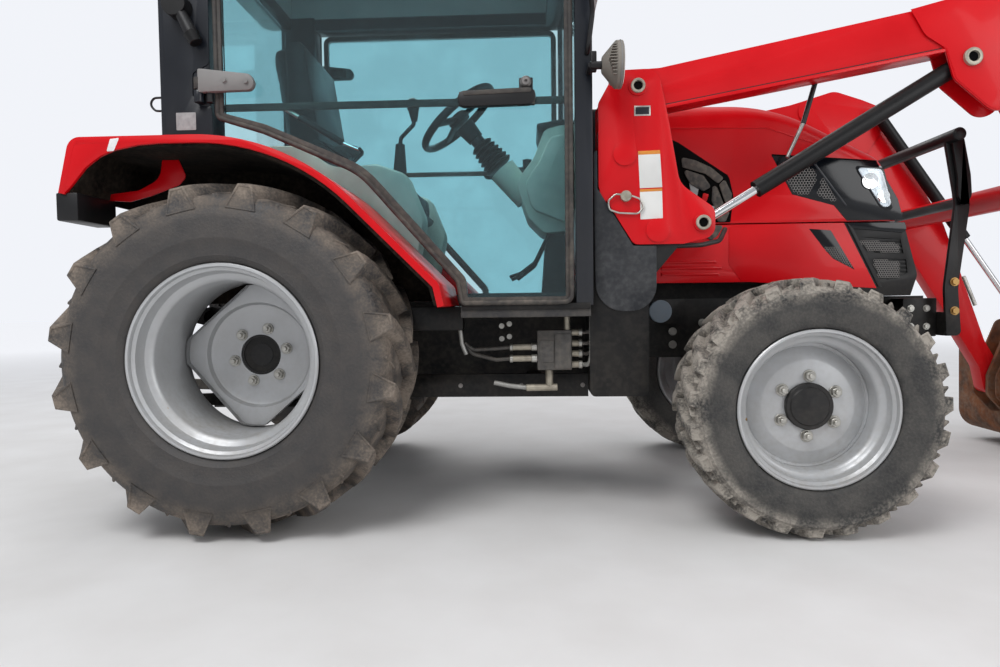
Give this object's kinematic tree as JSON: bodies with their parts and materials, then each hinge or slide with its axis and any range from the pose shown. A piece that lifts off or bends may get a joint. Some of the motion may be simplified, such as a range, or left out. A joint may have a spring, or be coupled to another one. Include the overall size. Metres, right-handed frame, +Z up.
{
  "type": "compact farm tractor with cab and front loader",
  "caption": "Compact four-wheel-drive farm tractor with an enclosed cab, a front loader with its bucket on the ground and a rear hitch.",
  "frame": {"origin": "ground level under the middle of the tractor's bounding box", "axes": "+X forward, +Y to the tractor's left, +Z up"},
  "size_m": [4.917, 1.83, 2.4799],
  "materials": {
    "red_paint": "glossy, slightly dusty",
    "black_paint": "satin, dusty",
    "cast_housing": "painted, rough",
    "worn_steel": "worn and rusty",
    "rod_chrome": "polished",
    "silver_rim": "satin silver",
    "tyre_rubber": "dusty",
    "cab_window": "tinted",
    "grey_plastic": "matt",
    "black_plastic": "matt",
    "lamp_lens": "clear",
    "seat_cloth": "woven"
  },
  "bodies": {
    "chassis": {"cowl": "red_paint", "side_panels": "red_paint", "fenders": "red_paint", "loader_towers": "red_paint", "roof": "red_paint", "front_frame": "black_paint", "front_axle_beam": "black_paint", "loader_subframe": "black_paint", "brush_guard": "black_paint", "cab_frame": "black_paint", "cab_floor": "black_paint", "drawbar": "black_paint", "top_link": "black_paint", "engine_block": "cast_housing", "transmission_housing": "cast_housing", "hydraulic_valve": "cast_housing", "cab_glass": "cab_window", "dash_column": "grey_plastic", "side_consoles": "grey_plastic", "nose_grille": "black_plastic", "mirrors": "black_plastic", "fuel_tank": "black_plastic", "lamps": "lamp_lens", "seat": "seat_cloth"},
    "hood": {"hood": "red_paint", "headlamps": "lamp_lens"},
    "door_left": {"door_frame_left": "black_plastic", "door_glass_left": "cab_window"},
    "door_right": {"door_frame_right": "black_plastic", "door_glass_right": "cab_window"},
    "rear_wheel_left": {"rear_rim_left": "silver_rim", "rear_tyre_left": "tyre_rubber"},
    "rear_wheel_right": {"rear_rim_right": "silver_rim", "rear_tyre_right": "tyre_rubber"},
    "front_wheel_left": {"front_rim_left": "silver_rim", "front_tyre_left": "tyre_rubber"},
    "front_wheel_right": {"front_rim_right": "silver_rim", "front_tyre_right": "tyre_rubber"},
    "knuckle_left": {"knuckle_left": "black_paint"},
    "knuckle_right": {"knuckle_right": "black_paint"},
    "track_rod": {"track_rod": "black_paint"},
    "steering_wheel": {"steering_wheel": "black_plastic"},
    "boom": {"boom": "red_paint"},
    "lift_barrels": {"lift_barrels": "black_paint"},
    "lift_rods": {"lift_rods": "rod_chrome"},
    "tilt_barrels": {"tilt_barrels": "black_paint"},
    "tilt_rods": {"tilt_rods": "rod_chrome"},
    "bucket": {"bucket": "worn_steel"},
    "lift_arms": {"lift_arms": "black_paint"},
    "hitch_rods": {"hitch_rods": "black_paint"},
    "lower_links": {"lower_links": "black_paint"}
  },
  "joints": [
    {"name": "rear_wheel_left_spin", "type": "hinge", "parent": "chassis", "child": "rear_wheel_left", "pos_m": [-1.622, 0.64, 0.606], "axis": [0, 1, 0], "continuous": true},
    {"name": "rear_wheel_right_spin", "type": "hinge", "parent": "chassis", "child": "rear_wheel_right", "pos_m": [-1.622, -0.64, 0.606], "axis": [0, 1, 0], "continuous": true},
    {"name": "steer_left", "type": "hinge", "parent": "chassis", "child": "knuckle_left", "pos_m": [0.325, 0.58, 0.431], "axis": [0, 0, 1], "range_deg": [-40, 40]},
    {"name": "steer_right", "type": "hinge", "parent": "chassis", "child": "knuckle_right", "pos_m": [0.325, -0.58, 0.431], "axis": [0, 0, 1], "range_deg": [-40, 40]},
    {"name": "front_wheel_left_spin", "type": "hinge", "parent": "knuckle_left", "child": "front_wheel_left", "pos_m": [0.325, 0.675, 0.431], "axis": [0, 1, 0], "continuous": true},
    {"name": "front_wheel_right_spin", "type": "hinge", "parent": "knuckle_right", "child": "front_wheel_right", "pos_m": [0.325, -0.675, 0.431], "axis": [0, 1, 0], "continuous": true},
    {"name": "track_rod_slide", "type": "slide", "parent": "chassis", "child": "track_rod", "axis": [0, -1, 0], "range_m": [-0.08492, 0.08492]},
    {"name": "steering_wheel_turn", "type": "hinge", "parent": "chassis", "child": "steering_wheel", "pos_m": [-0.914, 0, 1.609], "axis": [0.6428, 0, -0.766], "range_deg": [-540.1, 540.1]},
    {"name": "hood_hinge", "type": "hinge", "parent": "chassis", "child": "hood", "pos_m": [-0.11, 0, 1.553], "axis": [0, -1, 0], "range_deg": [0, 50]},
    {"name": "door_left_hinge", "type": "hinge", "parent": "chassis", "child": "door_left", "pos_m": [-1.752, 0.672, 1.6], "axis": [0, 0, 1], "range_deg": [0, 78]},
    {"name": "door_right_hinge", "type": "hinge", "parent": "chassis", "child": "door_right", "pos_m": [-1.752, -0.672, 1.6], "axis": [0, 0, -1], "range_deg": [0, 78]},
    {"name": "boom_lift", "type": "hinge", "parent": "chassis", "child": "boom", "pos_m": [-0.223, 0, 1.538], "axis": [0, -1, 0], "range_deg": [0, 62]},
    {"name": "lift_barrel_turn", "type": "hinge", "parent": "boom", "child": "lift_barrels", "pos_m": [0.915, 0, 1.611], "axis": [0, -1, 0], "range_deg": [-11.41, 0]},
    {"name": "lift_rod_slide", "type": "slide", "parent": "lift_barrels", "child": "lift_rods", "axis": [-0.857, 0, -0.5153], "range_m": [-0.0001, 0.48596]},
    {"name": "bucket_tilt", "type": "hinge", "parent": "boom", "child": "bucket", "pos_m": [1.753, 0, 0.35], "axis": [0, -1, 0], "range_deg": [-50, 32]},
    {"name": "tilt_barrel_turn", "type": "hinge", "parent": "boom", "child": "tilt_barrels", "pos_m": [1.128, 0, 1.712], "axis": [0, -1, 0], "range_deg": [-2.91, 4.55]},
    {"name": "tilt_rod_slide", "type": "slide", "parent": "tilt_barrels", "child": "tilt_rods", "axis": [0.5697, 0, -0.8219], "range_m": [-0.13135, 0.20518]},
    {"name": "hitch_lift", "type": "hinge", "parent": "chassis", "child": "lift_arms", "pos_m": [-1.922, 0, 0.745], "axis": [0, 1, 0], "range_deg": [-25, 30]},
    {"name": "hitch_rod_turn", "type": "hinge", "parent": "lift_arms", "child": "hitch_rods", "pos_m": [-2.162, 0, 0.8], "axis": [0, 1, 0], "range_deg": [-30, 25]},
    {"name": "lower_link_turn", "type": "hinge", "parent": "chassis", "child": "lower_links", "pos_m": [-1.742, 0, 0.4], "axis": [0, 1, 0], "range_deg": [-13.25, 15.9]}
  ],
  "couplings": [
    {"joint": "steer_left", "follows": "steer_right", "ratio": 1},
    {"joint": "track_rod_slide", "follows": "steer_right", "m_per_rad": 0.1215},
    {"joint": "steering_wheel_turn", "follows": "steer_right", "ratio": -13.5},
    {"joint": "lift_barrel_turn", "follows": "boom_lift", "ratio": -0.184},
    {"joint": "lift_rod_slide", "follows": "boom_lift", "m_per_rad": 0.449},
    {"joint": "tilt_barrel_turn", "follows": "bucket_tilt", "ratio": -0.091},
    {"joint": "tilt_rod_slide", "follows": "bucket_tilt", "m_per_rad": -0.235},
    {"joint": "hitch_rod_turn", "follows": "hitch_lift", "ratio": -1},
    {"joint": "lower_link_turn", "follows": "hitch_lift", "ratio": 0.53}
  ]
}
